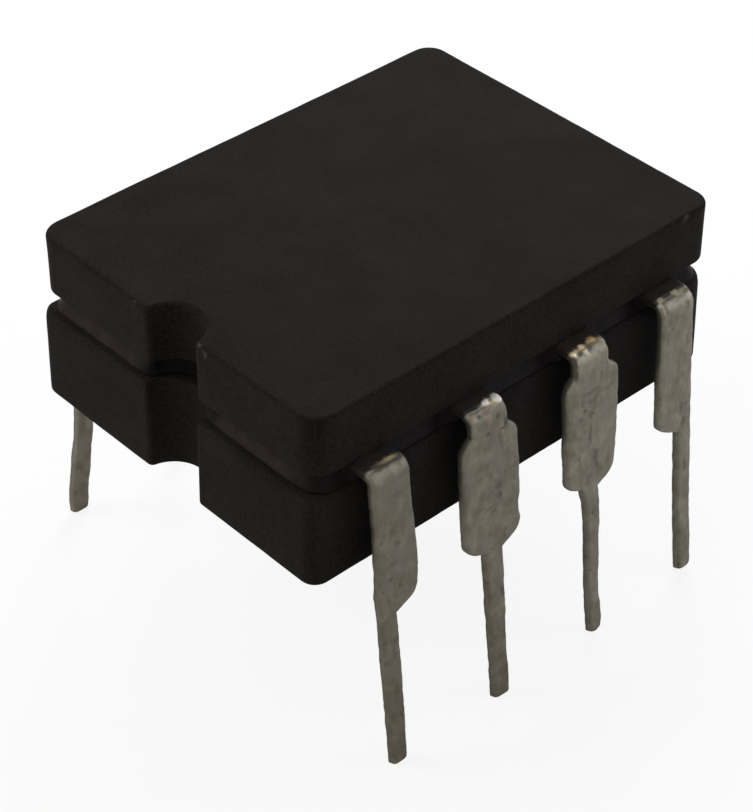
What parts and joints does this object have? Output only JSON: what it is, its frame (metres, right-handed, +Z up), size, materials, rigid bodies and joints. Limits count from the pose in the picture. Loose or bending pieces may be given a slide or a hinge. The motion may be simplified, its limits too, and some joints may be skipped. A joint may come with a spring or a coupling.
{
  "type": "dip integrated circuit chip",
  "caption": "Ceramic dual in-line integrated circuit: pressed base and lid joined by a dark glass seam, half-round index notch, and two rows of bent, shouldered leads.",
  "frame": {"origin": "centre of the package in plan, at the level of the lead tips", "axes": "+Z up, out of the lid; +Y along the lead rows, away from the index notch; +X towards the row that holds lead 1, which is beside the notch"},
  "size_m": [0.0096, 0.0098, 0.0077],
  "materials": {
    "base_ceramic": "matte pressed black alumina",
    "lid_ceramic": "matte pressed black alumina",
    "seal_glass": "fired dark solder glass, half-matte",
    "tinned_lead": "dull hot-dipped tin with tarnish",
    "silicon": "polished",
    "attach_gold": "fused gold-silicon",
    "wire_aluminium": "drawn wire"
  },
  "bodies": {
    "root": {"ceramic_base": "base_ceramic", "ceramic_lid": "lid_ceramic", "glass_seal": "seal_glass", "silicon_die": "silicon", "die_attach": "attach_gold", "lead_1": "tinned_lead", "lead_2": "tinned_lead", "lead_3": "tinned_lead", "lead_4": "tinned_lead", "lead_5": "tinned_lead", "lead_6": "tinned_lead", "lead_7": "tinned_lead", "lead_8": "tinned_lead", "bond_wire_1": "wire_aluminium", "bond_wire_2": "wire_aluminium", "bond_wire_3": "wire_aluminium", "bond_wire_4": "wire_aluminium", "bond_wire_5": "wire_aluminium", "bond_wire_6": "wire_aluminium", "bond_wire_7": "wire_aluminium", "bond_wire_8": "wire_aluminium"}
  },
  "joints": []
}
